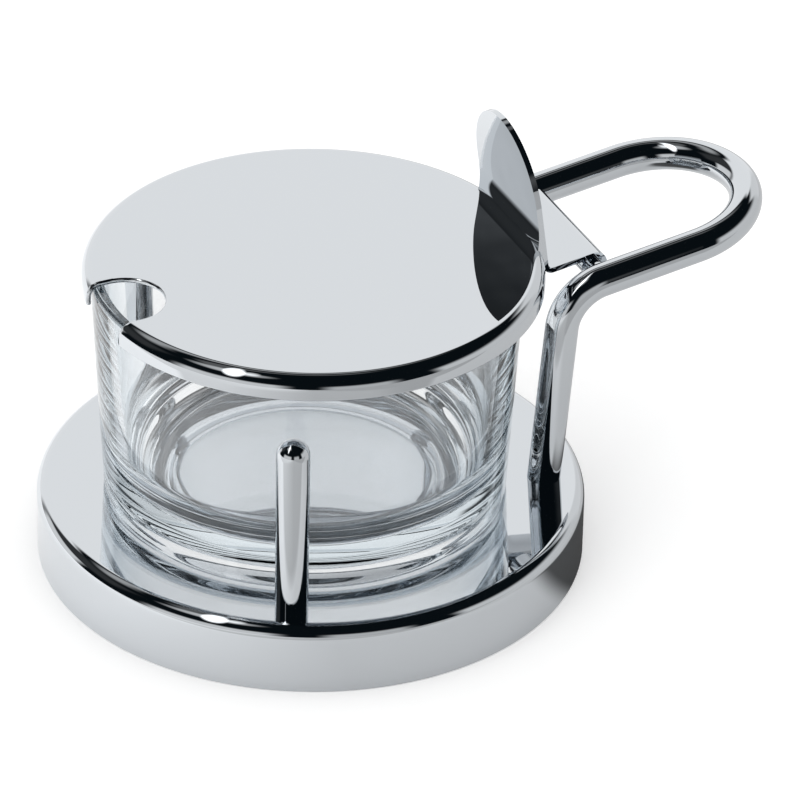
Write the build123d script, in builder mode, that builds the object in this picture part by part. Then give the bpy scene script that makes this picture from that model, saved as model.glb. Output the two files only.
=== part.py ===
from build123d import *
from math import asin, cos, degrees, radians, sin, sqrt, tan
import os

# Grated cheese server: a glass jar on a round steel base, kept between two guide pins and the legs
# of a bent wire handle, with a lid hinged to the handle.
# The origin is on the table under the middle of the base. +Z is up and +X points along the handle.
# All sizes are in millimetres.

# Base
base_height = 14.0
base_sheet = 1.5
base_edge_radius = 2.6
base_foot_chamfer = 0.4
base_border = 2.55
plate_thickness = 1.5
plate_fit = 0.1

# Glass jar
jar_rim_radius = 40.9
jar_taper = 2.3
jar_height = 47.3
jar_rim_wall = 2.4
jar_low_wall = 3.2
jar_floor = 5.9
jar_dish = 1.2
jar_corner_rounding = 11.0
jar_rim_chamfer = 0.6
jar_heel_width = 1.0
jar_heel_height = 2.3
jar_ring = 0.6
jar_hollow = 2.2
jar_hollow_curve = 35.0
jar_setback = 1.2

# Guide pins
pin_radius = 3.15
pin_height = 35.9
pin_gap = 0.3
pin_angle = 117.4

# Lid
lid_sheet = 1.0
lid_edge_radius = 2.9
lid_skirt = 4.6
lid_rest_gap = 0.3
skirt_gap = 1.7
skirt_edge_chamfer = 0.2
notch_radius = 7.5
notch_depth = 12.8
notch_flare = 1.2

# Thumb plate with its hinge leaf and barrel
tab_sheet = 1.1
tab_width = 26.0
tab_rise = 22.1
tab_crown = 14.1
bend_radius = 1.0
leaf_reach = 10.95
hinge_drop = 6.6
curl_gap = 0.3
seam_height = 4.5
seam_radius = 20.0

# Hinge pin
hinge_pin_radius = 1.5
hinge_fit = 0.05
socket_depth = 2.6
socket_fit = 0.02

# Wire handle
wire_radius = 3.2
rail_gap = 1.2
rail_slope = 8.2
rail_below_hinge = 0.7
leg_gap = 0.6
leg_lean = 4.7
knee_radius = 9.6
loop_reach = 19.4

# How far a cut runs past the surface that it opens
cut_past = 5.0

# Places worked out from the sizes above
jar_foot_radius = jar_rim_radius - jar_taper
pin_shaft = pin_height - pin_radius
jar_at_pin = jar_foot_radius + jar_taper * pin_shaft / jar_height
pin_circle = jar_at_pin + pin_gap + pin_radius
pin_x = pin_circle * cos(radians(pin_angle)) - jar_setback
pin_y = pin_circle * sin(radians(pin_angle))
base_radius = sqrt(pin_x**2 + pin_y**2) + pin_radius + base_border + base_edge_radius
lid_radius = jar_rim_radius + skirt_gap + lid_sheet
lid_underside = base_height + jar_height + lid_rest_gap
lid_top = lid_underside + lid_sheet

# The thumb plate stands on the chord of the lid that is as long as the plate is wide.
tab_x = sqrt(lid_radius**2 - (tab_width / 2) ** 2)
hinge_x = tab_x + leaf_reach
hinge_z = lid_top - hinge_drop
slope_along = Vector(cos(radians(rail_slope)), 0, sin(radians(rail_slope)))

# The side view of the hinge: x runs up along the rails and y stands square to them.
hinge_side = Plane(origin=(hinge_x, 0, hinge_z), x_dir=slope_along, z_dir=(0, -1, 0))
tab_foot = hinge_side.to_local_coords(Vector(tab_x, 0, lid_top))
barrel_bore = hinge_pin_radius + hinge_fit
barrel_radius = barrel_bore + tab_sheet
curl_angle = 270 + degrees(asin((barrel_bore - curl_gap) / barrel_radius))
tab_top = tab_foot.Y + tab_rise

# The handle: two legs that lean outwards, two rails that climb gently, and a half circle.
rail_y = tab_width / 2 + rail_gap + wire_radius
leg_circle = jar_rim_radius + leg_gap + wire_radius
leg_x = sqrt(leg_circle**2 - rail_y**2)
lean = tan(radians(leg_lean))
slope = tan(radians(rail_slope))
rail_z = hinge_z - rail_below_hinge
knee_z = (rail_z + slope * (leg_x - lean * base_height - hinge_x)) / (1 - slope * lean)
knee_x = leg_x + lean * (knee_z - base_height)
loop_x = hinge_x + loop_reach
loop_z = rail_z + slope * loop_reach


def side_profile_plane(x=0.0, z=0.0):
    """Upright plane through the axis of a round piece: x is the radius and y the height."""
    return Plane(origin=(x, 0, z), x_dir=(1, 0, 0), z_dir=(0, -1, 0))


# Base shell: a drawn dish, open below
with BuildPart() as base_shell:
    with BuildSketch(side_profile_plane()) as shell_profile:
        with BuildLine():
            Polyline(
                (0, base_height),
                (base_radius, base_height),
                (base_radius, 0),
                (base_radius - base_sheet, 0),
                (base_radius - base_sheet, base_height - base_sheet),
                (0, base_height - base_sheet),
                close=True,
            )
        make_face()
        fillet(shell_profile.vertices().group_by(Axis.Y)[-1].sort_by(Axis.X)[-1], base_edge_radius)
        chamfer(shell_profile.vertices().group_by(Axis.Y)[0].sort_by(Axis.X)[-1], base_foot_chamfer)
    revolve(axis=Axis.Z)
base_shell.part.label = "base_shell"

# Base plate: closes the dish from below, level with its foot
with BuildPart() as base_plate:
    with BuildSketch(Plane.XY):
        Circle(base_radius - base_sheet - plate_fit)
    extrude(amount=plate_thickness)
base_plate.part.label = "base_plate"

# Jar: pressed glass, tapered to its foot, with a wide inner corner and a dished floor. It stands on a
# narrow ring, inside which its underside is hollow.
ring_inside = jar_foot_radius - jar_heel_width - jar_ring
hollow_run = sqrt(jar_hollow * (2 * jar_hollow_curve - jar_hollow))
floor_edge = jar_foot_radius - jar_low_wall
dish_curve = (floor_edge**2 + jar_dish**2) / (2 * jar_dish)
jar_axis = Axis((-jar_setback, 0, 0), (0, 0, 1))
with BuildPart() as jar:
    with BuildSketch(side_profile_plane(-jar_setback, base_height)) as jar_profile:
        with BuildLine():
            Line((0, jar_hollow), (ring_inside - hollow_run, jar_hollow))
            RadiusArc((ring_inside - hollow_run, jar_hollow), (ring_inside, 0), jar_hollow_curve)
            Polyline(
                (ring_inside, 0),
                (jar_foot_radius - jar_heel_width, 0),
                (jar_foot_radius, jar_heel_height),
                (jar_rim_radius, jar_height),
                (jar_rim_radius - jar_rim_wall, jar_height),
                (floor_edge, jar_floor),
            )
            RadiusArc((floor_edge, jar_floor), (0, jar_floor - jar_dish), dish_curve)
            Line((0, jar_floor - jar_dish), (0, jar_hollow))
        make_face()
        fillet(jar_profile.vertices().sort_by_distance((floor_edge, jar_floor))[0], jar_corner_rounding)
        chamfer(jar_profile.vertices().group_by(Axis.Y)[-1], jar_rim_chamfer)
    revolve(axis=jar_axis)
jar.part.label = "jar"


def guide_pin(y):
    """A round-topped post on the base, on this side of the jar."""
    with BuildPart() as pin:
        with BuildSketch(Plane(origin=(pin_x, y, base_height), x_dir=(1, 0, 0), z_dir=(0, -1, 0))):
            with BuildLine():
                Polyline((0, pin_height), (0, 0), (pin_radius, 0), (pin_radius, pin_shaft))
                RadiusArc((pin_radius, pin_shaft), (0, pin_height), -pin_radius)
            make_face()
        revolve(axis=Axis((pin_x, y, 0), (0, 0, 1)))
    return pin.part


# Guide pins: one each side of the jar, on a circle about the jar's own axis
guide_pin_left = guide_pin(pin_y)
guide_pin_left.label = "guide_pin_left"
guide_pin_right = guide_pin(-pin_y)
guide_pin_right.label = "guide_pin_right"

# Wire handle: one rod from foot to foot, bent up through both knees and round the loop
with BuildPart() as handle_wire:
    with BuildLine() as route:
        foot_x = leg_x - lean * wire_radius
        side = [(foot_x, base_height - wire_radius), (knee_x, knee_z), (loop_x, loop_z)]
        with BuildLine(Plane.XZ.offset(rail_y)):
            near_side = FilletPolyline(*side, radius=knee_radius)
        loop_plane = Plane(
            origin=(loop_x, 0, loop_z),
            x_dir=slope_along,
            z_dir=slope_along.cross(Vector(0, 1, 0)),
        )
        with BuildLine(loop_plane):
            CenterArc((0, 0), rail_y, -90, 180)
        with BuildLine(Plane.XZ.offset(-rail_y)):
            FilletPolyline(*reversed(side), radius=knee_radius)
    with BuildSketch(Plane(origin=near_side @ 0, z_dir=near_side % 0)):
        Circle(wire_radius)
    sweep(path=route.wires()[0])
    split(bisect_by=Plane.XY.offset(base_height), keep=Keep.TOP)
    # Blind sockets on the inner sides of the rails hold the ends of the hinge pin.
    with BuildSketch(Plane.XZ.offset(-rail_y + wire_radius - socket_depth)):
        with Locations((hinge_x, hinge_z)):
            Circle(hinge_pin_radius + socket_fit)
    extrude(amount=2 * (rail_y - wire_radius + socket_depth), mode=Mode.SUBTRACT)
handle_wire.part.label = "handle_wire"

# Hinge pin: a plain cross rod from socket to socket
with BuildPart() as hinge_pin:
    with BuildSketch(Plane.XZ):
        with Locations((hinge_x, hinge_z)):
            Circle(hinge_pin_radius)
    extrude(amount=rail_y - wire_radius + socket_depth, both=True)
hinge_pin.part.label = "hinge_pin"

# Lid: a flat disc with a rolled rim, cut by the spoon notch and by the chord under the thumb plate
seam_face = hinge_side.from_local_coords(Vector(tab_foot.X - tab_sheet / 2, tab_foot.Y, 0))
seam_plane = Plane(origin=seam_face, x_dir=(0, 1, 0), z_dir=slope_along)
with BuildPart() as lid:
    with BuildSketch(side_profile_plane()) as lid_profile:
        with BuildLine():
            Polyline(
                (0, lid_top),
                (lid_radius, lid_top),
                (lid_radius, lid_top - lid_skirt),
                (lid_radius - lid_sheet, lid_top - lid_skirt),
                (lid_radius - lid_sheet, lid_underside),
                (0, lid_underside),
                close=True,
            )
        make_face()
        chamfer(lid_profile.vertices().group_by(Axis.Y)[0], skirt_edge_chamfer)
        inside_corner = (lid_radius - lid_sheet, lid_underside)
        fillet(lid_profile.vertices().sort_by_distance(inside_corner)[0], lid_edge_radius - lid_sheet)
        fillet(lid_profile.vertices().sort_by_distance((lid_radius, lid_top))[0], lid_edge_radius)
    revolve(axis=Axis.Z)
    # Spoon notch: a U open at the rim, with its mouth flared
    notch_end = notch_depth - lid_radius
    with BuildSketch(Plane.XY.offset(lid_top)):
        with Locations((notch_end - notch_radius, 0)):
            Circle(notch_radius)
        mouth_x = notch_flare - lid_radius
        outside_x = -lid_radius - cut_past
        with BuildLine():
            Polyline(
                (outside_x, -notch_radius - notch_flare),
                (-lid_radius, -notch_radius - notch_flare),
            )
            RadiusArc((-lid_radius, -notch_radius - notch_flare), (mouth_x, -notch_radius), notch_flare)
            Polyline(
                (mouth_x, -notch_radius),
                (notch_end - notch_radius, -notch_radius),
                (notch_end - notch_radius, notch_radius),
                (mouth_x, notch_radius),
            )
            RadiusArc((mouth_x, notch_radius), (-lid_radius, notch_radius + notch_flare), notch_flare)
            Polyline(
                (-lid_radius, notch_radius + notch_flare),
                (outside_x, notch_radius + notch_flare),
                (outside_x, -notch_radius - notch_flare),
            )
        make_face()
    extrude(amount=lid_skirt + cut_past, both=True, mode=Mode.SUBTRACT)
    split(bisect_by=seam_plane, keep=Keep.BOTTOM)
lid.part.label = "lid"

# The lid's outer form, filled: what the foot of the thumb plate is fitted down to
with BuildPart() as lid_form:
    with Locations((0, 0, lid_top)):
        Cylinder(lid_radius, lid_skirt, align=(Align.CENTER, Align.CENTER, Align.MAX))
    fillet(lid_form.edges().group_by(Axis.Z)[-1], lid_edge_radius)

# Thumb plate: the tab stands up, the leaf runs out along the rails, and the end curls round the pin.
# A narrow seam of weld, ground hollow, swells the foot of the tab down to the lid's rolled rim.
with BuildPart() as thumb_plate:
    inner_face = tab_foot.X - tab_sheet / 2
    outer_face = tab_foot.X + tab_sheet / 2
    seam_top = tab_foot.Y + seam_height
    seam_drop = seam_height + lid_edge_radius
    with BuildSketch(hinge_side):
        with BuildLine():
            seam_arc = CenterArc(
                (inner_face - seam_radius, seam_top),
                seam_radius,
                0,
                -degrees(asin(seam_drop / seam_radius)),
            )
            Polyline(seam_arc @ 1, (inner_face, seam_top - seam_drop), seam_arc @ 0)
        make_face()
    extrude(amount=tab_width / 2, both=True)
    add(lid_form.part, mode=Mode.SUBTRACT)
    with BuildSketch(hinge_side) as bent_strip:
        with BuildLine():
            Polyline(
                (inner_face, tab_top),
                (inner_face, barrel_bore),
                (0, barrel_bore),
                (0, barrel_radius),
                (outer_face, barrel_radius),
                (outer_face, tab_top),
                close=True,
            )
        make_face()
        fillet(bent_strip.vertices().group_by(Axis.Y)[0].sort_by(Axis.X)[0], bend_radius + tab_sheet)
        fillet(bent_strip.vertices().sort_by_distance((outer_face, barrel_radius))[0], bend_radius)
        # The curl starts on top of the pin and stops just short of the underside of the leaf.
        with BuildLine():
            bore_arc = CenterArc((0, 0), barrel_bore, 90, -curl_angle)
            Line(bore_arc @ 1, (bore_arc @ 1) * (barrel_radius / barrel_bore))
            CenterArc((0, 0), barrel_radius, 90, -curl_angle)
            Line((0, barrel_bore), (0, barrel_radius))
        make_face()
    extrude(amount=tab_width / 2, both=True)
    with BuildSketch(seam_plane) as crown_cut:
        with Locations((0, tab_rise - tab_crown)):
            Rectangle(
                tab_width + cut_past,
                tab_crown + cut_past,
                align=(Align.CENTER, Align.MIN),
            )
            Ellipse(tab_width / 2, tab_crown, mode=Mode.SUBTRACT)
    extrude(amount=tab_sheet + cut_past, both=True, mode=Mode.SUBTRACT)
thumb_plate.part.label = "thumb_plate"

print("overall length", round(base_radius + loop_x + rail_y * cos(radians(rail_slope)) + wire_radius, 2))
print("hinge axis", round(hinge_x, 3), round(hinge_z, 3), "tab at", round(tab_x, 3), "lid top", round(lid_top, 2))
print("pins at", round(pin_x, 3), round(pin_y, 3))
print("leg foot", round(leg_x, 3), "rail y", round(rail_y, 3), "knee", round(knee_x, 3), round(knee_z, 3))
print("loop centre", round(loop_x, 3), round(loop_z, 3), "base radius", round(base_radius, 3))

os.makedirs("parts", exist_ok=True)
export_step(base_shell.part, "parts/base_shell.step")
export_step(base_plate.part, "parts/base_plate.step")
export_step(jar.part, "parts/jar.step")
export_step(guide_pin_left, "parts/guide_pin_left.step")
export_step(guide_pin_right, "parts/guide_pin_right.step")
export_step(handle_wire.part, "parts/handle_wire.step")
export_step(hinge_pin.part, "parts/hinge_pin.step")
export_step(lid.part, "parts/lid.step")
export_step(thumb_plate.part, "parts/thumb_plate.step")
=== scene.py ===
# %% [markdown]
# # A grated cheese server in polished steel and clear glass
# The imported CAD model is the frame: its nodes say where every piece is and what moves with what. This
# lesson puts fine meshes round that frame, gives them their finishes, and sets up a plain white studio.
# Almost every surface here is a mirror or a lens, so two things make the picture: very even surfaces,
# and the room that they reflect.

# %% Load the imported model
import bmesh
import bpy
from math import acos, asin, atan2, cos, hypot, pi, radians, sin, tan
from mathutils import Matrix, Vector


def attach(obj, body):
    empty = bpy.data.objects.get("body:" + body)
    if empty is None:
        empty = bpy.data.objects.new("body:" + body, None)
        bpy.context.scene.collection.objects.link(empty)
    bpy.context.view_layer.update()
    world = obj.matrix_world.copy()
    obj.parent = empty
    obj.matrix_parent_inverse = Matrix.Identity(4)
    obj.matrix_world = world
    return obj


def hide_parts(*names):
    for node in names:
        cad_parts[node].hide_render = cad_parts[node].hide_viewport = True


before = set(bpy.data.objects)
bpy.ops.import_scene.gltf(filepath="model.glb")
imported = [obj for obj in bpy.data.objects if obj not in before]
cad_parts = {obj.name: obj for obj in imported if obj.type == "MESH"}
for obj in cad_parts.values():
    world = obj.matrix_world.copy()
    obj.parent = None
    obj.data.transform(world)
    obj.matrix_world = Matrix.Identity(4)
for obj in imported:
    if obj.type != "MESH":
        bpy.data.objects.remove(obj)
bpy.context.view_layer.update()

MM = 0.001
print("nodes", sorted(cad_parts))

# %% [markdown]
# ## Camera
# The photograph was taken from far away with a long lens, a little over thirty degrees above the table.
# The camera's place was found by fitting the round outlines of the base and the lid. The row of the
# picture is turned against the handle's direction, so every direction in the studio is given in the
# camera's own turn.

# %% Camera
view_turn = radians(-25.5)
view_height = radians(31.93)
camera_roll = radians(1.24)
camera_distance = 1.1909
aim = Vector((0, 0, 0.030))
side_step = 0.01679
rise_step = 0.00105
frame_pixels = 800
focal_pixels = 6261

studio_turn = Matrix.Rotation(view_turn, 3, "Z")
forward = studio_turn @ Vector((0, cos(view_height), -sin(view_height)))
level_right = studio_turn @ Vector((1, 0, 0))
level_up = level_right.cross(forward)
right = level_right * cos(camera_roll) + level_up * sin(camera_roll)
up = level_up * cos(camera_roll) - level_right * sin(camera_roll)

camera_data = bpy.data.cameras.new("camera")
camera_data.sensor_width = 36
camera_data.lens = camera_data.sensor_width * focal_pixels / frame_pixels
camera = bpy.data.objects.new("camera", camera_data)
placed = Matrix((right, up, -forward)).transposed().to_4x4()
placed.translation = aim - forward * camera_distance + right * side_step + up * rise_step
camera.matrix_world = placed
bpy.context.scene.collection.objects.link(camera)
bpy.context.scene.camera = camera
bpy.context.scene.view_settings.view_transform = "Standard"
print("lens", round(camera_data.lens, 1), "mm, camera at", [round(v, 4) for v in placed.translation])

# %% [markdown]
# ## The room that the steel and the glass show
# Polished steel has hardly any colour of its own: it shows the room. On the real object the room is a
# white back wall that ends at about forty degrees, paler walls low down on the other sides, dim strips
# high up, soft lamps in front on the left, and darkness elsewhere. Those dark parts draw the black
# lines round every rim. The room could be built from emitting cards, but the world shader does the same
# with no geometry: each card is a window in azimuth and elevation with soft edges. Azimuth 0 is
# straight behind the object as the camera sees it, and positive to the right.

# %% Helpers for shader nodes
def link_or_set(tree, value, socket):
    """Feeds a socket with another node's output or with a plain number."""
    if isinstance(value, bpy.types.NodeSocket):
        tree.links.new(value, socket)
    else:
        socket.default_value = value


def calculate(tree, operation, *values):
    """One Math node."""
    node = tree.nodes.new("ShaderNodeMath")
    node.operation = operation
    for value, socket in zip(values, node.inputs):
        link_or_set(tree, value, socket)
    return node.outputs[0]


def ramp(tree, value, low, high, to_low=0.0, to_high=1.0, smooth=True):
    """A Map Range node, with soft ends unless smooth is off."""
    node = tree.nodes.new("ShaderNodeMapRange")
    node.interpolation_type = "SMOOTHSTEP" if smooth else "LINEAR"
    for name, number in (("From Min", low), ("From Max", high), ("To Min", to_low), ("To Max", to_high)):
        node.inputs[name].default_value = number
    link_or_set(tree, value, node.inputs["Value"])
    return node.outputs["Result"]


# %% Directions in the room
world = bpy.data.worlds.new("studio")
world.use_nodes = True
bpy.context.scene.world = world
room = world.node_tree
room.nodes.clear()

direction = room.nodes.new("ShaderNodeTexCoord")
turned = room.nodes.new("ShaderNodeMapping")
turned.inputs["Rotation"].default_value = (0, 0, -view_turn)
room.links.new(direction.outputs["Generated"], turned.inputs["Vector"])
split = room.nodes.new("ShaderNodeSeparateXYZ")
room.links.new(turned.outputs["Vector"], split.inputs["Vector"])
in_degrees = 180 / pi


def bearing_of(tree, aside, back):
    """The angle to the right of straight back, in degrees."""
    return calculate(tree, "MULTIPLY", calculate(tree, "ARCTAN2", aside, back), in_degrees)


def height_of(tree, rise):
    """The angle above the level, in degrees."""
    return calculate(tree, "MULTIPLY", calculate(tree, "ARCSINE", rise), in_degrees)


azimuth = bearing_of(room, split.outputs[0], split.outputs[1])
elevation = height_of(room, split.outputs[2])
print("nodes that find a direction:", len(room.nodes))

# %% Cards round the object
def card(left, right_end, low, high, side_blur, end_blur, level):
    """A bright window in the room between two azimuths and two elevations."""
    across = calculate(
        room,
        "MULTIPLY",
        ramp(room, azimuth, left - side_blur, left + side_blur),
        ramp(room, azimuth, right_end + side_blur, right_end - side_blur),
    )
    upright = calculate(
        room,
        "MULTIPLY",
        ramp(room, elevation, low - end_blur, low + end_blur),
        ramp(room, elevation, high + end_blur, high - end_blur),
    )
    return calculate(room, "MULTIPLY", calculate(room, "MULTIPLY", across, upright), level)


# Left and right end, low and high end, blur of the sides and of the ends (all in degrees), level
cards = [
    card(-44, 22, -90, 42, 4, 2, 1.0),
    card(-60, 8, 48, 56, 14, 3, 0.42),
    card(-78, -48, -90, 20, 4, 3, 0.80),
    card(22, 45, -90, 36, 4, 4, 0.80),
    card(45, 118, -90, 24, 4, 8, 0.68),
    card(-168, -116, -90, 20, 6, 5, 0.72),
    card(140, 172, -90, 20, 5, 6, 0.55),
    card(-125, 20, 64, 71, 8, 2, 0.12),
    card(-95, -46, 22, 44, 6, 6, 0.035),
]
print("cards in the room:", len(cards))

# %% [markdown]
# ### Lamps in front
# A lamp's mirror image sits on a round edge where the edge faces halfway between the lamp and the
# viewer. So the lamps are placed by that halfway direction: how far the face that mirrors them is
# turned aside from the front, and how far it is tipped up. A tall oval in those two angles shows as a
# short bright oval on every rim, with a smaller, weaker lamp beside it and a faint strip through both.
# The halfway direction is each direction of the room plus one fixed direction, towards the front at the
# height of the view.

# %% Lamps in front
halfway = room.nodes.new("ShaderNodeVectorMath")
halfway.operation = "ADD"
room.links.new(turned.outputs["Vector"], halfway.inputs[0])
halfway.inputs[1].default_value = (0, -cos(view_height), sin(view_height))
facing = room.nodes.new("ShaderNodeVectorMath")
facing.operation = "NORMALIZE"
room.links.new(halfway.outputs["Vector"], facing.inputs[0])
tilt = room.nodes.new("ShaderNodeSeparateXYZ")
room.links.new(facing.outputs["Vector"], tilt.inputs["Vector"])
side_tilt = bearing_of(room, tilt.outputs[0], calculate(room, "MULTIPLY", tilt.outputs[1], -1.0))
up_tilt = height_of(room, tilt.outputs[2])


def soft_lamp(middle_side, middle_up, half_width, half_height, core, level):
    """A bright oval that fades from its core, given as a squared share of its radius, out to its edge."""
    across = calculate(room, "DIVIDE", calculate(room, "SUBTRACT", side_tilt, middle_side), half_width)
    upright = calculate(room, "DIVIDE", calculate(room, "SUBTRACT", up_tilt, middle_up), half_height)
    squares = [calculate(room, "MULTIPLY", side, side) for side in (across, upright)]
    return calculate(room, "MULTIPLY", ramp(room, calculate(room, "ADD", *squares), 1.0, core), level)


# Turned aside, tipped up, half width and half height (all in degrees), core, level
front_lights = [
    soft_lamp(-20, 52, 3.5, 19.5, 0.20, 2.2),
    soft_lamp(-15.5, 55, 3.0, 8, 0.0, 0.70),
    soft_lamp(-21, 51, 14, 8, 0.0, 0.60),
]
print("lamps in front:", len(front_lights))

# %% [markdown]
# ### The whole room
# Cards, lamps and a faint bluish darkness are added up. Only mirror and glass rays see the result. The
# lamps reach rays inside the glass with a small share of their strength, which keeps the jar free of
# specks. Matt surfaces see plain white instead, so that colours stay as written.

# %% Put the room together
rays = room.nodes.new("ShaderNodeLightPath")
room_dark = (0.0035, 0.0058, 0.0076, 1)
glass_share = 0.15
held_back = calculate(room, "MULTIPLY", rays.outputs["Is Transmission Ray"], 1 - glass_share)
through_glass = calculate(room, "SUBTRACT", 1.0, held_back)
shown = cards[0]
for window in cards[1:]:
    shown = calculate(room, "ADD", window, shown)
for window in front_lights:
    shown = calculate(room, "ADD", calculate(room, "MULTIPLY", window, through_glass), shown)
mirrored = calculate(room, "MAXIMUM", rays.outputs["Is Glossy Ray"], rays.outputs["Is Transmission Ray"])
strength = room.nodes.new("ShaderNodeMix")
strength.data_type = "FLOAT"
room.links.new(mirrored, strength.inputs["Factor"])
strength.inputs["A"].default_value = 1.0
room.links.new(shown, strength.inputs["B"])
tinted = room.nodes.new("ShaderNodeMix")
tinted.data_type = "RGBA"
tinted.clamp_factor = False
room.links.new(strength.outputs["Result"], tinted.inputs["Factor"])
tinted.inputs["A"].default_value = room_dark
tinted.inputs["B"].default_value = (1, 1, 1, 1)
background = room.nodes.new("ShaderNodeBackground")
room.links.new(tinted.outputs["Result"], background.inputs["Color"])
room_out = room.nodes.new("ShaderNodeOutputWorld")
room.links.new(background.outputs[0], room_out.inputs["Surface"])
print("nodes in the room:", len(room.nodes))

# %% [markdown]
# ## Floor
# The table top is one large matt sheet. Seen directly it is nearly white and keeps the object's soft
# shadow. Seen in the steel it has painted shade: darker in front and to the right, with a painted
# shadow beside the base on the right and a faint painted glow. That shades the wall of the base, the
# front pin and the lid's skirt from left to right.

# %% Floor
floor_half = 3.0
floor_gap = 0.00005
floor_grey = 0.98
floor_roughness = 0.9
seen_glow = 0.16
mirrored_glow = 0.10
grid = bmesh.new()
bmesh.ops.create_grid(grid, x_segments=1, y_segments=1, size=floor_half)
floor_mesh = bpy.data.meshes.new("floor")
grid.to_mesh(floor_mesh)
grid.free()
floor = bpy.data.objects.new("floor", floor_mesh)
floor.location.z = -floor_gap
bpy.context.scene.collection.objects.link(floor)

print("floor", 2 * floor_half, "m wide,", floor_gap / MM, "mm under the base")

# %% Shade of the floor in the steel
floor_material = bpy.data.materials.new("table_top")
floor_material.use_nodes = True
top = floor_material.node_tree
top_shader = top.nodes["Principled BSDF"]
top_shader.inputs["Roughness"].default_value = floor_roughness
top_shader.inputs["Specular IOR Level"].default_value = 0.0
place = top.nodes.new("ShaderNodeTexCoord")
turned_place = top.nodes.new("ShaderNodeMapping")
turned_place.inputs["Rotation"].default_value = (0, 0, -view_turn)
top.links.new(place.outputs["Object"], turned_place.inputs["Vector"])
beside = top.nodes.new("ShaderNodeSeparateXYZ")
top.links.new(turned_place.outputs["Vector"], beside.inputs["Vector"])
# Painted shade: the floor as mirror and glass rays see it is darker to the right and in front, and painted
# lighter on the left.
shade_to_right = ramp(top, beside.outputs[0], -0.05, 0.01, 1.0, 0.70, smooth=False)
shade_to_front = ramp(top, beside.outputs[1], -0.085, -0.066, 0.50, 1.0)
left_light = ramp(top, beside.outputs[0], -0.085, 0.005, 0.75, 0.50, smooth=False)
front_shade = calculate(top, "MAXIMUM", shade_to_front, left_light)
bearing = bearing_of(top, beside.outputs[0], beside.outputs[1])
squares = [calculate(top, "MULTIPLY", beside.outputs[i], beside.outputs[i]) for i in (0, 1)]
reach = calculate(top, "SQRT", calculate(top, "ADD", *squares))


def floor_shade(first_bearing, last_bearing, near, far, side_blur, end_blur, level):
    """A piece of painted shade on the floor between two bearings and two distances from the middle."""
    inside = calculate(
        top,
        "MULTIPLY",
        calculate(
            top,
            "MULTIPLY",
            ramp(top, bearing, first_bearing - side_blur, first_bearing + side_blur),
            ramp(top, bearing, last_bearing + side_blur, last_bearing - side_blur),
        ),
        calculate(
            top,
            "MULTIPLY",
            ramp(top, reach, near - end_blur, near + end_blur),
            ramp(top, reach, far + end_blur, far - end_blur),
        ),
    )
    return calculate(top, "SUBTRACT", 1.0, calculate(top, "MULTIPLY", inside, 1 - level))


# Painted shadow of the object on the floor beside the base on the right.
own_shadow = floor_shade(40, 110, 0.03, 0.075, 5, 0.008, 0.14)
# Painted shade on the floor further to the right.
far_right_shade = ramp(top, beside.outputs[0], 0.055, 0.090, 1.0, 0.84)
reflected_shade = calculate(top, "MULTIPLY", calculate(top, "MINIMUM", shade_to_right, front_shade), own_shadow)
reflected_shade = calculate(top, "MULTIPLY", reflected_shade, far_right_shade)
floor_rays = top.nodes.new("ShaderNodeLightPath")
floor_mirrored = calculate(
    top, "MAXIMUM", floor_rays.outputs["Is Glossy Ray"], floor_rays.outputs["Is Transmission Ray"]
)
shade = top.nodes.new("ShaderNodeMix")
shade.data_type = "FLOAT"
top.links.new(floor_mirrored, shade.inputs["Factor"])
shade.inputs["A"].default_value = floor_grey
top.links.new(reflected_shade, shade.inputs["B"])
as_colour = top.nodes.new("ShaderNodeCombineColor")
for channel in ("Red", "Green", "Blue"):
    top.links.new(shade.outputs["Result"], as_colour.inputs[channel])
top.links.new(as_colour.outputs["Color"], top_shader.inputs["Base Color"])
# Painted glow: in mirror and glass rays the floor glows a little, following its painted shade. Seen
# directly it glows evenly white.
glow_in_steel = calculate(top, "MULTIPLY", floor_mirrored, reflected_shade)
white_and_painted_glow = calculate(
    top,
    "ADD",
    calculate(top, "MULTIPLY", floor_rays.outputs["Is Camera Ray"], seen_glow),
    calculate(top, "MULTIPLY", glow_in_steel, mirrored_glow),
)
top_shader.inputs["Emission Color"].default_value = (1, 1, 1, 1)
top.links.new(white_and_painted_glow, top_shader.inputs["Emission Strength"])
floor_mesh.materials.append(floor_material)
print("nodes in the floor's material:", len(top.nodes))

# %% [markdown]
# ## Key lamp
# One large soft lamp from the front left gives the floor its shadow. It is hidden from mirror and glass
# rays, because the lamps of the room already stand for it there. Light may bounce often, because a ray
# crosses many walls of glass before it is out again.

# %% Key lamp
lamp_data = bpy.data.lights.new("key", "AREA")
lamp_watts = 1.2
lamp_width = 0.5
lamp_data.energy = lamp_watts
lamp_data.size = lamp_width
lamp = bpy.data.objects.new("key", lamp_data)
lamp_azimuth = radians(-140)
lamp_elevation = radians(45)
lamp_reach = cos(lamp_elevation)
lamp_direction = studio_turn @ Vector(
    (sin(lamp_azimuth) * lamp_reach, cos(lamp_azimuth) * lamp_reach, sin(lamp_elevation))
)
lamp.location = lamp_direction
lamp.rotation_euler = lamp_direction.to_track_quat("Z", "Y").to_euler()
lamp.visible_glossy = False
lamp.visible_transmission = False
bpy.context.scene.collection.objects.link(lamp)

light_paths = bpy.context.scene.cycles
light_paths.max_bounces = 32
light_paths.glossy_bounces = 16
light_paths.transmission_bounces = 24
print("key lamp at", [round(v, 3) for v in lamp.location], "m")

# %% [markdown]
# ## Finishes
# The steel is mirror polished. A perfect mirror looks like a drawing, so it gets what a buffing wheel
# leaves: a very slight waviness over a few millimetres, a faint haze that changes from place to place,
# and fine scratches that only widen the reflections a little. All of it reads Object coordinates, so it
# stays on the metal at every pose.

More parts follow.
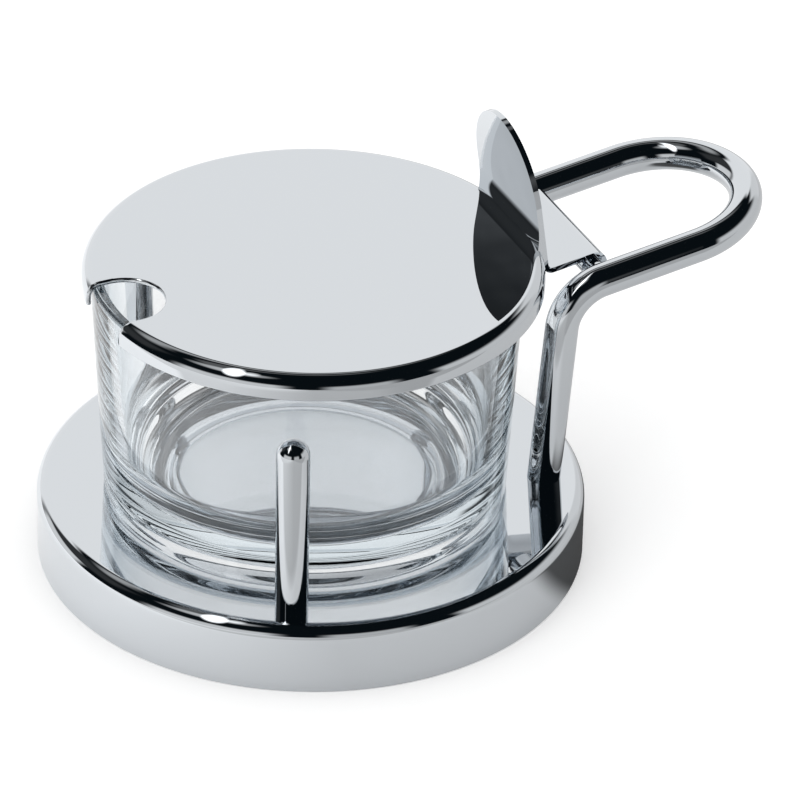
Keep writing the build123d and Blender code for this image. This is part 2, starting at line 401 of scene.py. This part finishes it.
# %% Helpers for finishes
def noise(tree, vector, scale, detail, roughness=0.5):
    """A Noise Texture's value."""
    node = tree.nodes.new("ShaderNodeTexNoise")
    for name, number in (("Scale", scale), ("Detail", detail), ("Roughness", roughness)):
        node.inputs[name].default_value = number
    tree.links.new(vector, node.inputs["Vector"])
    return node.outputs["Fac"]


def relief(tree, height, distance, below=None):
    """A Bump node that raises the surface by up to distance metres."""
    node = tree.nodes.new("ShaderNodeBump")
    node.inputs["Distance"].default_value = distance
    tree.links.new(height, node.inputs["Height"])
    if below is not None:
        tree.links.new(below, node.inputs["Normal"])
    return node.outputs["Normal"]


def new_finish(name):
    """A material with its node tree, its shader and the Object coordinates."""
    material = bpy.data.materials.new(name)
    material.use_nodes = True
    tree = material.node_tree
    coordinates = tree.nodes.new("ShaderNodeTexCoord").outputs["Object"]
    return material, tree, tree.nodes["Principled BSDF"], coordinates


# %% Polished steel
steel_colour = (0.672, 0.701, 0.730, 1)
haze_scale = 55
least_haze = 0.006
most_haze = 0.022
hairline_scale = 1500
hairline_haze = 0.02
wave_scale = 45
wave_height = 0.00003

steel, tree, shader, where = new_finish("polished_steel")
shader.inputs["Base Color"].default_value = steel_colour
shader.inputs["Metallic"].default_value = 1
haze = ramp(tree, noise(tree, where, haze_scale, 3), 0.40, 0.75, least_haze, most_haze)
hairlines = ramp(tree, noise(tree, where, hairline_scale, 2, 0.6), 0.55, 0.80, 0.0, hairline_haze)
tree.links.new(calculate(tree, "ADD", haze, hairlines), shader.inputs["Roughness"])
tree.links.new(relief(tree, noise(tree, where, wave_scale, 2), wave_height), shader.inputs["Normal"])
print(steel.name, len(tree.nodes), "nodes")

# %% [markdown]
# The plate under the base is turned on a lathe and left as it is: fine rings round the middle, and a
# duller look than the polished parts. The rings are a noise read along the radius alone.

# %% Turned steel of the base lining
groove_scale = 4200
groove_height = 0.00002
blotch_scale = 60
dull_steel = (0.50, 0.515, 0.53, 1)
bright_steel = (0.66, 0.675, 0.69, 1)

lining, tree, shader, where = new_finish("turned_steel")
shader.inputs["Metallic"].default_value = 1
parts = tree.nodes.new("ShaderNodeSeparateXYZ")
tree.links.new(where, parts.inputs["Vector"])
squares = [calculate(tree, "MULTIPLY", parts.outputs[i], parts.outputs[i]) for i in (0, 1)]
radius = calculate(tree, "SQRT", calculate(tree, "ADD", *squares))
along = tree.nodes.new("ShaderNodeCombineXYZ")
tree.links.new(radius, along.inputs["X"])
rings = noise(tree, along.outputs["Vector"], groove_scale, 3, 0.6)
blotches = noise(tree, where, blotch_scale, 3)
tone = tree.nodes.new("ShaderNodeMix")
tone.data_type = "RGBA"
tree.links.new(calculate(tree, "MULTIPLY", rings, blotches), tone.inputs["Factor"])
tone.inputs["A"].default_value = dull_steel
tone.inputs["B"].default_value = bright_steel
tree.links.new(tone.outputs["Result"], shader.inputs["Base Color"])
tree.links.new(ramp(tree, rings, 0.3, 0.7, 0.22, 0.42), shader.inputs["Roughness"])
tree.links.new(relief(tree, rings, groove_height), shader.inputs["Normal"])
print(lining.name, len(tree.nodes), "nodes")

# %% [markdown]
# The jar is clear pressed glass. Part of its colour comes from depth: the glass takes a little red out
# of the light over every centimetre. The other part comes from slant: where the surface turns away from
# the eye, as in the thick foot and at the sides, it is tinted bluish grey. Pressed glass also keeps
# faint rings from the mould, which break the lines seen through the wall above the foot.

# %% Clear glass
slant_colour = (0.70, 0.81, 0.89, 1)
depth_colour = (0.55, 0.68, 0.75, 1)
depth_density = 8.0
glass_ior = 1.5
mould_scale = 22
mould_squeeze = 5
mould_height = 0.000007
wall_from = 0.026
wall_full = 0.036

glass, tree, shader, where = new_finish("clear_glass")
slant = tree.nodes.new("ShaderNodeLayerWeight")
slant.inputs["Blend"].default_value = 0.5
edge_tint = tree.nodes.new("ShaderNodeMix")
edge_tint.data_type = "RGBA"
tree.links.new(ramp(tree, slant.outputs["Facing"], 0.25, 1.0), edge_tint.inputs["Factor"])
edge_tint.inputs["A"].default_value = (1, 1, 1, 1)
edge_tint.inputs["B"].default_value = slant_colour
tree.links.new(edge_tint.outputs["Result"], shader.inputs["Base Color"])
shader.inputs["Transmission Weight"].default_value = 1
shader.inputs["Roughness"].default_value = 0.0
shader.inputs["IOR"].default_value = glass_ior
stretched = tree.nodes.new("ShaderNodeMapping")
stretched.inputs["Scale"].default_value = (1, 1, mould_squeeze)
tree.links.new(where, stretched.inputs["Vector"])
mould_rings = noise(tree, stretched.outputs["Vector"], mould_scale, 1, 0.4)
upright = tree.nodes.new("ShaderNodeSeparateXYZ")
tree.links.new(where, upright.inputs["Vector"])
on_wall = ramp(tree, upright.outputs["Z"], wall_from, wall_full)
wall_rings = calculate(tree, "MULTIPLY", mould_rings, on_wall)
tree.links.new(relief(tree, wall_rings, mould_height), shader.inputs["Normal"])
depth = tree.nodes.new("ShaderNodeVolumeAbsorption")
depth.inputs["Color"].default_value = depth_colour
depth.inputs["Density"].default_value = depth_density
tree.links.new(depth.outputs["Volume"], tree.nodes["Material Output"].inputs["Volume"])

for name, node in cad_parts.items():
    node.data.materials.clear()
    node.data.materials.append({"jar": glass, "base_plate": lining}.get(name, steel))
print(glass.name, len(tree.nodes), "nodes, finishes on", len(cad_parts), "nodes of the frame")

# %% [markdown]
# ## Tools for turned pieces
# Most pieces are round, and a spun section is how they are made in metal too. The section is drawn
# point by point, with arcs made by spinning the last point about the arc's middle, and then the whole
# section is spun about the piece's axis. A sharp corner is rounded with the bevel operator on its
# vertex. Flat faces next to a rounding would shade like cushions, so every piece gets a Weighted Normal
# modifier, which keeps large faces flat.

# %% Section and spin helpers
sharp_from = radians(32)
eased_from = radians(40)
ease_segments = 3
large_face_weight = 90
merge_distance = 0.001 * MM


def point(bm, x, z):
    """A first point of a section, in millimetres."""
    return bm.verts.new((x * MM, 0, z * MM))


def line_to(bm, last, x, z):
    """A straight line on from the last point."""
    end = point(bm, x, z)
    bm.edges.new((last, end))
    return end


def arc_to(bm, last, middle_x, middle_z, turn, steps):
    """An arc on from the last point, by this many degrees anticlockwise about the given middle."""
    made = bmesh.ops.spin(
        bm,
        geom=[last],
        cent=(middle_x * MM, 0, middle_z * MM),
        axis=(0, -1, 0),
        angle=radians(turn),
        steps=steps,
    )
    return next(item for item in made["geom_last"] if isinstance(item, bmesh.types.BMVert))


def round_corner(bm, corner, size, segments):
    """Rounds one square corner of a section."""
    bmesh.ops.bevel(
        bm,
        geom=[corner],
        offset=size * MM,
        offset_type="OFFSET",
        segments=segments,
        profile=0.5,
        affect="VERTICES",
        material=-1,
    )


def turn_round(bm, steps, x=0.0, y=0.0, z=0.0):
    """Spins the section about its own axis, then moves the piece to its place, in millimetres."""
    bmesh.ops.spin(
        bm,
        geom=bm.verts[:] + bm.edges[:],
        cent=(0, 0, 0),
        axis=(0, 0, 1),
        angle=2 * pi,
        steps=steps,
        use_merge=True,
    )
    bmesh.ops.remove_doubles(bm, verts=bm.verts, dist=merge_distance)
    bmesh.ops.translate(bm, verts=bm.verts, vec=(x * MM, y * MM, z * MM))


def to_mesh(name, bm):
    """Turns a bmesh into a mesh with outward faces, smooth but for its sharp edges."""
    bmesh.ops.recalc_face_normals(bm, faces=bm.faces)
    for face in bm.faces:
        face.smooth = True
    for edge in bm.edges:
        edge.smooth = len(edge.link_faces) == 2 and edge.calc_face_angle() < sharp_from
    mesh = bpy.data.meshes.new(name)
    bm.to_mesh(mesh)
    bm.free()
    return mesh


def ease_edges(item, width):
    """Takes the sharpness off an object's edges by this many millimetres."""
    ease = item.modifiers.new("eased_edges", "BEVEL")
    ease.width = width * MM
    ease.segments = ease_segments
    ease.limit_method = "ANGLE"
    ease.angle_limit = eased_from
    ease.use_clamp_overlap = False


def finish_piece(name, mesh, material, body, slot, *nodes):
    """Puts a mesh into the scene as a piece that stands for these nodes."""
    mesh.materials.clear()
    mesh.materials.append(material)
    piece = bpy.data.objects.new(name, mesh)
    bpy.context.scene.collection.objects.link(piece)
    even = piece.modifiers.new("even_normals", "WEIGHTED_NORMAL")
    even.keep_sharp = True
    even.weight = large_face_weight
    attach(piece, body)
    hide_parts(*nodes)
    print(name, len(mesh.polygons), "faces")
    return piece


print("edges sharper than", round(sharp_from / radians(1)), "degrees stay crisp")

# %% [markdown]
# ## Base
# The base is a shallow dish of sheet steel, drawn over a tool, so its upper edge is one smooth rounding
# and its wall ends in a thin foot. The rounding is where the black line of the photograph sits, so it
# gets many segments.

# %% Base dish and its lining
base_radius = 52.5
base_height = 14.0
base_sheet = 1.5
base_rounding = 2.6
foot_rounding = 0.4
foot_steps = 5
small_steps = 3
base_steps = 28
around = 256

bm = bmesh.new()
last = point(bm, 0, base_height)
last = line_to(bm, last, base_radius - base_rounding, base_height)
last = arc_to(bm, last, base_radius - base_rounding, base_height - base_rounding, -90, base_steps)
foot_outside = line_to(bm, last, base_radius, 0)
foot_inside = line_to(bm, foot_outside, base_radius - base_sheet, 0)
last = line_to(bm, foot_inside, base_radius - base_sheet, base_height - base_sheet)
line_to(bm, last, 0, base_height - base_sheet)
round_corner(bm, foot_outside, foot_rounding, foot_steps)
round_corner(bm, foot_inside, foot_rounding / 2, small_steps)
turn_round(bm, around)
finish_piece("base_dish", to_mesh("base_dish", bm), steel, "stand", "polished_steel", "base_shell")

plate_radius = 50.9
plate_thickness = 1.5
plate_rounding = 0.25
bm = bmesh.new()
last = point(bm, 0, plate_thickness)
last = line_to(bm, last, plate_radius, plate_thickness)
lower_edge = line_to(bm, last, plate_radius, 0)
line_to(bm, lower_edge, 0, 0)
round_corner(bm, lower_edge, plate_rounding, small_steps)
turn_round(bm, around)
finish_piece("base_lining", to_mesh("base_lining", bm), lining, "stand", "base_lining", "base_plate")

# %% [markdown]
# ## Jar
# The jar stands on a narrow ring and its underside is hollow. Inside, a wide corner runs into a gently
# dished floor. Those curves bend the view of the base and the room into the bright and dark bands of
# the photograph, so the section follows the CAD model's exactly, with its arcs meeting tangentially. It
# hovers a few hundredths of a millimetre over the steel, because glass that touches a face exactly
# renders dark.

# %% Jar
jar_x = -1.2
jar_lift = 0.03
rim_radius = 40.9
foot_radius = 38.6
jar_height = 47.3
rim_wall = 2.4
rim_round = 0.9
heel_width = 1.0
heel_height = 2.3
ring_width = 0.6
hollow = 2.2
hollow_curve = 35.0
floor_edge = 35.4
floor_level = 5.9
floor_dish = 1.2
corner_round = 11.0
corner_inset = 0.35
hollow_steps = 20
heel_steps = 14
rim_steps = 10
corner_steps = 32
dish_steps = 12

ring_inside = foot_radius - heel_width - ring_width
hollow_turn = acos(1 - hollow / hollow_curve)
hollow_flat = ring_inside - hollow_curve * sin(hollow_turn)
dish_curve = (floor_edge**2 + floor_dish**2) / (2 * floor_dish)
dish_middle = floor_level - floor_dish + dish_curve
corner_x = floor_edge + corner_inset - corner_round
dish_turn = asin(corner_x / (dish_curve - corner_round))
corner_z = dish_middle - (dish_curve - corner_round) * cos(dish_turn)
inner_rim = rim_radius - rim_wall
rim_x = inner_rim - corner_x
rim_z = jar_height - rim_round - corner_z
wall_turn = atan2(rim_z, rim_x) - acos(corner_round / hypot(rim_x, rim_z))

bm = bmesh.new()
last = point(bm, 0, hollow)
last = line_to(bm, last, hollow_flat, hollow)
last = arc_to(bm, last, hollow_flat, hollow - hollow_curve, -hollow_turn / radians(1), hollow_steps)
last = line_to(bm, last, foot_radius - heel_width, 0)
before_heel = set(bm.verts)
last = arc_to(bm, last, foot_radius - heel_width, heel_width, 90, heel_steps)
heel = [vertex for vertex in bm.verts if vertex not in before_heel]
bmesh.ops.scale(bm, vec=(1, 1, heel_height / heel_width), verts=heel)
last = line_to(bm, last, rim_radius, jar_height - rim_round)
last = arc_to(bm, last, rim_radius - rim_round, jar_height - rim_round, 90, rim_steps)
last = line_to(bm, last, inner_rim + rim_round, jar_height)
last = arc_to(bm, last, inner_rim + rim_round, jar_height - rim_round, 90, rim_steps)
wall_foot_x = corner_x + corner_round * cos(wall_turn)
wall_foot_z = corner_z + corner_round * sin(wall_turn)
last = line_to(bm, last, wall_foot_x, wall_foot_z)
corner_turn = -(pi / 2 + wall_turn - dish_turn)
last = arc_to(bm, last, corner_x, corner_z, corner_turn / radians(1), corner_steps)
arc_to(bm, last, 0, dish_middle, -dish_turn / radians(1), dish_steps)
print("thinnest floor", round(floor_level - floor_dish - hollow, 2), "mm")
turn_round(bm, around, x=jar_x, z=base_height + jar_lift)
finish_piece("glass_jar", to_mesh("glass_jar", bm), glass, "stand", "clear_glass", "jar")

# %% [markdown]
# ## Guide pins
# Two solid posts with round tops stand close to the jar and stop it from sliding. They are a straight
# line and a quarter circle, spun.

# %% Guide pins
pin_radius = 3.15
pin_height = 35.9
pin_x = -21.284
pin_y = 38.746
pin_around = 96
dome_steps = 32
for node, y in (("guide_pin_left", pin_y), ("guide_pin_right", -pin_y)):
    bm = bmesh.new()
    last = point(bm, 0, 0)
    last = line_to(bm, last, pin_radius, 0)
    last = line_to(bm, last, pin_radius, pin_height - pin_radius)
    arc_to(bm, last, 0, pin_height - pin_radius, 90, dome_steps)
    turn_round(bm, pin_around, x=pin_x, y=y, z=base_height)
    name = node.replace("guide_pin", "guide_post")
    finish_piece(name, to_mesh(name, bm), steel, "stand", "polished_steel", node)

# %% [markdown]
# ## Wire handle
# One rod is bent into both legs, both rails and the loop. A curve with a round bevel could stand for
# it, but the rod here follows true arcs: a circle is pushed along each straight run and spun through
# each bend, which gives perfectly even skin for the reflections.

# %% Wire handle
wire_radius = 3.2
rail_y = 17.4
rail_slope = radians(8.2)
leg_lean = radians(4.7)
knee = Vector((44.474, 0, 54.134)) * MM
loop_middle = Vector((71.967, 0, 58.096)) * MM
leg_x = 41.174
knee_round = 9.6 * MM
rail_way = Vector((cos(rail_slope), 0, sin(rail_slope)))
leg_way = Vector((sin(leg_lean), 0, cos(leg_lean)))
knee_turn = pi / 2 - leg_lean - rail_slope
knee_reach = knee_round * tan(knee_turn / 2)
side_way = Vector((0, 1, 0))
wire_around = 64
knee_steps = 24
loop_steps = 64


def push(bm, edges, way):
    """Extrudes a ring of edges along a straight run and returns the new ring."""
    made = bmesh.ops.extrude_edge_only(bm, edges=edges)["geom"]
    moved = [item for item in made if isinstance(item, bmesh.types.BMVert)]
    bmesh.ops.translate(bm, vec=way, verts=moved)
    return [item for item in made if isinstance(item, bmesh.types.BMEdge)]


def bend(bm, edges, middle, axis, turn, steps):
    """Spins a ring of edges through a bend and returns the new ring."""
    made = bmesh.ops.spin(
        bm,
        geom=edges + list(dict.fromkeys(vertex for edge in edges for vertex in edge.verts)),
        cent=middle,
        axis=axis,
        angle=turn,
        steps=steps,
    )["geom_last"]
    return [item for item in made if isinstance(item, bmesh.types.BMEdge)]


near = -rail_y * MM
foot = Vector((leg_x * MM, near, base_height * MM)) - leg_way * 2 * wire_radius * MM
knee_near = knee + side_way * near
bm = bmesh.new()
bmesh.ops.create_circle(
    bm,
    segments=wire_around,
    radius=wire_radius * MM,
    matrix=Matrix.Translation(foot) @ leg_way.to_track_quat("Z", "Y").to_matrix().to_4x4(),
)
ring = bm.edges[:]
leg_run = (knee_near - foot).length - knee_reach
rail_run = (loop_middle - knee).length - knee_reach
inside_knee = knee_near - leg_way * knee_reach + leg_way.cross(side_way) * -knee_round
ring = push(bm, ring, leg_way * leg_run)
ring = bend(bm, ring, inside_knee, side_way, knee_turn, knee_steps)
ring = push(bm, ring, rail_way * rail_run)
ring = bend(bm, ring, loop_middle, rail_way.cross(side_way), pi, loop_steps)
ring = push(bm, ring, rail_way * -rail_run)
inside_far_knee = inside_knee + side_way * 2 * rail_y * MM
ring = bend(bm, ring, inside_far_knee, side_way, -knee_turn, knee_steps)
ring = push(bm, ring, leg_way * -leg_run)
bmesh.ops.bisect_plane(
    bm,
    geom=bm.verts[:] + bm.edges[:] + bm.faces[:],
    plane_co=(0, 0, base_height * MM),
    plane_no=(0, 0, -1),
    clear_outer=True,
)
bmesh.ops.holes_fill(bm, edges=[edge for edge in bm.edges if edge.is_boundary], sides=0)
print("handle reaches", [round(max(vertex.co[i] for vertex in bm.verts), 5) for i in (0, 1, 2)])
finish_piece("handle_rod", to_mesh("handle_rod", bm), steel, "stand", "polished_steel", "handle_wire")

# %% [markdown]
# ## Lid
# The lid is spun like the base, from sheet of one thickness, with its rim rolled down into a short
# skirt. The spoon notch and the straight edge under the thumb plate are sawn out of it. Cutting a mesh
# by hand would break the even rings of the rim, so a Boolean modifier cuts it with two tools, and its
# result becomes the mesh. The notch's edges are eased in between, because they catch a dark line in the
# photograph.

# %% Lid
lid_radius = 43.6
lid_top = 62.6
lid_sheet = 1.0
lid_skirt = 4.6
lid_rounding = 2.9
notch_radius = 7.5
notch_depth = 12.8
notch_flare = 1.2
skirt_edge = 0.3
skirt_steps = 4
notch_edge = 0.42
lid_steps = 32
lid_inside_steps = 16
notch_steps = 32
flare_steps = 12
tool_margin = 5

bm = bmesh.new()
last = point(bm, 0, lid_top)
last = line_to(bm, last, lid_radius - lid_rounding, lid_top)
last = arc_to(bm, last, lid_radius - lid_rounding, lid_top - lid_rounding, -90, lid_steps)
skirt_outside = line_to(bm, last, lid_radius, lid_top - lid_skirt)
skirt_inside = line_to(bm, skirt_outside, lid_radius - lid_sheet, lid_top - lid_skirt)
last = line_to(bm, skirt_inside, lid_radius - lid_sheet, lid_top - lid_rounding)
last = arc_to(bm, last, lid_radius - lid_rounding, lid_top - lid_rounding, 90, lid_inside_steps)
line_to(bm, last, 0, lid_top - lid_sheet)
round_corner(bm, skirt_outside, skirt_edge, skirt_steps)
round_corner(bm, skirt_inside, skirt_edge, skirt_steps)
turn_round(bm, around)
lid_mesh = to_mesh("lid_cover", bm)
print("uncut lid", len(lid_mesh.polygons), "faces")

# %% Saw the lid
tab_width = 26.0
tab_sheet = 1.1
tab_x = (lid_radius**2 - (tab_width / 2) ** 2) ** 0.5
seam_foot = Vector((tab_x, 0, lid_top)) * MM - rail_way * tab_sheet / 2 * MM
chord_block = 60
notch_gap = 0.001
notch_merge = 0.004 * MM
sawn_merge = 0.002 * MM


def notch_tool():
    """The spoon notch: straight sides, a half circle inside and a flared mouth at the rim."""
    bm = bmesh.new()
    inner = notch_depth - lid_radius
    outer = -lid_radius - tool_margin
    outline = (
        (outer, -notch_radius - notch_flare),
        (-lid_radius, -notch_radius - notch_flare),
        (-lid_radius, -notch_radius),
        (inner, -notch_radius),
        (inner, notch_radius),
        (-lid_radius, notch_radius),
        (-lid_radius, notch_radius + notch_flare),
        (outer, notch_radius + notch_flare),
    )
    corners = [bm.verts.new((x * MM, y * MM, (lid_top - lid_skirt - tool_margin) * MM)) for x, y in outline]
    bm.faces.new(corners)
    for corner in (corners[2], corners[5]):
        round_corner(bm, corner, notch_flare, flare_steps)
    for corner in (corners[3], corners[4]):
        round_corner(bm, corner, notch_radius - notch_gap, notch_steps)
    bmesh.ops.remove_doubles(bm, verts=bm.verts, dist=notch_merge)
    made = bmesh.ops.extrude_face_region(bm, geom=bm.faces[:])["geom"]
    raised = [item for item in made if isinstance(item, bmesh.types.BMVert)]
    bmesh.ops.translate(bm, vec=(0, 0, (lid_skirt + 2 * tool_margin) * MM), verts=raised)
    return to_mesh("notch_tool", bm)


def chord_tool():
    """A block beyond the straight edge where the thumb plate stands."""
    bm = bmesh.new()
    size = chord_block * MM
    made = bmesh.ops.create_cube(bm, size=size)["verts"]
    bmesh.ops.translate(bm, vec=(size / 2, 0, 0), verts=made)
    bmesh.ops.rotate(bm, cent=(0, 0, 0), matrix=Matrix.Rotation(-rail_slope, 3, "Y"), verts=made)
    bmesh.ops.translate(bm, vec=seam_foot, verts=made)
    return to_mesh("chord_tool", bm)


def combine(mesh, tool, operation="DIFFERENCE", eased=0.0):
    """Cuts, joins or intersects a mesh with a tool. The result's edges can be eased, in millimetres."""
    blank = bpy.data.objects.new("blank", mesh)
    cutter = bpy.data.objects.new("cutter", tool)
    for item in (blank, cutter):
        bpy.context.scene.collection.objects.link(item)
    boolean = blank.modifiers.new("combine", "BOOLEAN")
    boolean.operation = operation
    boolean.solver = "EXACT"
    boolean.object = cutter
    if eased:
        ease_edges(blank, eased)
    bpy.context.view_layer.update()
    result = bpy.data.meshes.new_from_object(blank.evaluated_get(bpy.context.evaluated_depsgraph_get()))
    for item in (blank, cutter):
        bpy.data.objects.remove(item)
    return result


lid_cut = combine(combine(lid_mesh, notch_tool(), eased=notch_edge), chord_tool())
bm = bmesh.new()
bm.from_mesh(lid_cut)
bmesh.ops.remove_doubles(bm, verts=bm.verts, dist=sawn_merge)
finish_piece("lid_cover", to_mesh("lid_cover", bm), steel, "cover", "polished_steel", "lid")

# %% [markdown]
# ## Thumb plate
# One strip of sheet stands up as the thumb tab, turns into the leaf over the rails and curls round the
# hinge pin. Its side view is one closed outline with true arcs, drawn where the hinge pin is the origin
# and the rails are level, then extruded to the strip's width. The round crown of the tab is sawn with a
# Boolean, and a hollow-ground seam is joined on where the tab stands on the lid.

# %% Thumb plate
hinge_x = 52.567
hinge_z = 56.0
tab_rise = 22.1
tab_crown = 14.1
strip_face = -10.447
curl_bore = 1.55
bend_inside = 1.0
tab_foot_height = 8.094
curl_turn = 298.1
curl_outside = curl_bore + tab_sheet
tab_top = tab_foot_height + tab_rise
bend_x = strip_face + tab_sheet + bend_inside
bend_z = curl_outside + bend_inside
crown_foot = tab_top - tab_crown

seam_height = 4.5
seam_radius = 20.0
seam_top = tab_foot_height + seam_height
seam_drop = seam_height + lid_rounding
seam_turn = -asin(seam_drop / seam_radius)
seam_sink = 0.2
crown_block = 30
curl_steps = 64
bend_steps = 16
bend_inside_steps = 12
seam_steps = 16
on_the_cut = 0.01 * MM
one_plane = radians(0.2)
print("straight sides of the tab end", round(crown_foot, 2), "mm above the hinge pin")

# %% Strip, seam and crown

def set_at_hinge(bm):
    """Moves a shape from the hinge's side view to its place."""
    bmesh.ops.rotate(bm, cent=(0, 0, 0), matrix=Matrix.Rotation(-rail_slope, 3, "Y"), verts=bm.verts)
    bmesh.ops.translate(bm, vec=(hinge_x * MM, 0, hinge_z * MM), verts=bm.verts)


def to_strip(bm):
    """Extrudes a closed side outline to the strip's width and sets it at the hinge, along the rails."""
    side = bmesh.ops.contextual_create(bm, geom=bm.edges[:])["faces"]
    made = bmesh.ops.extrude_face_region(bm, geom=side)["geom"]
    far_side = [item for item in made if isinstance(item, bmesh.types.BMVert)]
    bmesh.ops.translate(bm, vec=(0, tab_width * MM, 0), verts=far_side)
    bmesh.ops.translate(bm, vec=(0, -tab_width / 2 * MM, 0), verts=bm.verts)
    set_at_hinge(bm)
    return to_mesh("strip", bm)


def bent_strip():
    """The tab, the leaf and the curl as one strip of even thickness."""
    bm = bmesh.new()
    first = point(bm, strip_face, tab_top)
    last = line_to(bm, first, strip_face, bend_z)
    last = arc_to(bm, last, bend_x, bend_z, 90, bend_steps)
    last = line_to(bm, last, 0, curl_bore)
    last = arc_to(bm, last, 0, 0, -curl_turn, curl_steps)
    curl_end = radians(90 - curl_turn)
    last = line_to(bm, last, curl_outside * cos(curl_end), curl_outside * sin(curl_end))
    last = arc_to(bm, last, 0, 0, curl_turn, curl_steps)
    last = line_to(bm, last, bend_x, curl_outside)
    last = arc_to(bm, last, bend_x, bend_z, -90, bend_inside_steps)
    last = line_to(bm, last, strip_face + tab_sheet, tab_top)
    bm.edges.new((last, first))
    return to_strip(bm)


def weld_seam():
    """The hollow-ground weld in front of the tab's foot, before the lid is taken out of it."""
    bm = bmesh.new()
    first = point(bm, strip_face, seam_top)
    seam_middle = strip_face - seam_radius
    last = arc_to(bm, first, seam_middle, seam_top, seam_turn / radians(1), seam_steps)
    last = line_to(bm, last, strip_face + tab_sheet / 2, seam_top - seam_drop)
    last = line_to(bm, last, strip_face + tab_sheet / 2, seam_top)
    bm.edges.new((last, first))
    return to_strip(bm)


def crown_form():
    """A thick block with the tab's outline: straight sides and a half oval on top."""
    bm = bmesh.new()
    bmesh.ops.create_circle(bm, cap_ends=True, segments=around, radius=MM)
    bmesh.ops.scale(bm, vec=(tab_crown, tab_width / 2, 1), verts=bm.verts)
    whole = bm.verts[:] + bm.edges[:] + bm.faces[:]
    bmesh.ops.bisect_plane(bm, geom=whole, plane_co=(0, 0, 0), plane_no=(1, 0, 0), clear_inner=True)
    straight = [edge for edge in bm.edges if all(abs(vertex.co.x) < on_the_cut for vertex in edge.verts)]
    made = bmesh.ops.extrude_edge_only(bm, edges=straight)["geom"]
    lower = [item for item in made if isinstance(item, bmesh.types.BMVert)]
    bmesh.ops.translate(bm, vec=(-crown_block * MM, 0, 0), verts=lower)
    bmesh.ops.rotate(bm, cent=(0, 0, 0), matrix=Matrix.Rotation(-pi / 2, 3, "Y"), verts=bm.verts)
    bmesh.ops.translate(bm, vec=(-crown_block * MM, 0, crown_foot * MM), verts=bm.verts)
    made = bmesh.ops.extrude_face_region(bm, geom=bm.faces[:])["geom"]
    far_face = [item for item in made if isinstance(item, bmesh.types.BMVert)]
    bmesh.ops.translate(bm, vec=(2 * crown_block * MM, 0, 0), verts=far_face)
    set_at_hinge(bm)
    return to_mesh("crown_form", bm)


def filled_lid():
    """The lid's outer form, unhollowed and a touch low, so that the seam's thin edge sinks into the lid."""
    bm = bmesh.new()
    last = point(bm, 0, lid_top)
    last = line_to(bm, last, lid_radius - lid_rounding, lid_top)
    last = arc_to(bm, last, lid_radius - lid_rounding, lid_top - lid_rounding, -90, lid_steps)
    last = line_to(bm, last, lid_radius, lid_top - lid_skirt)
    line_to(bm, last, 0, lid_top - lid_skirt)
    turn_round(bm, around, z=-seam_sink)
    return to_mesh("filled_lid", bm)


# %% Thumb plate as one mesh
tab_mesh = combine(bent_strip(), crown_form(), "INTERSECT")
tab_mesh = combine(tab_mesh, combine(weld_seam(), filled_lid()), "UNION")
bm = bmesh.new()
bm.from_mesh(tab_mesh)
bmesh.ops.remove_doubles(bm, verts=bm.verts, dist=merge_distance)
bmesh.ops.dissolve_limit(bm, angle_limit=one_plane, verts=bm.verts, edges=bm.edges)
finish_piece("thumb_tab", to_mesh("thumb_tab", bm), steel, "cover", "polished_steel", "thumb_plate")
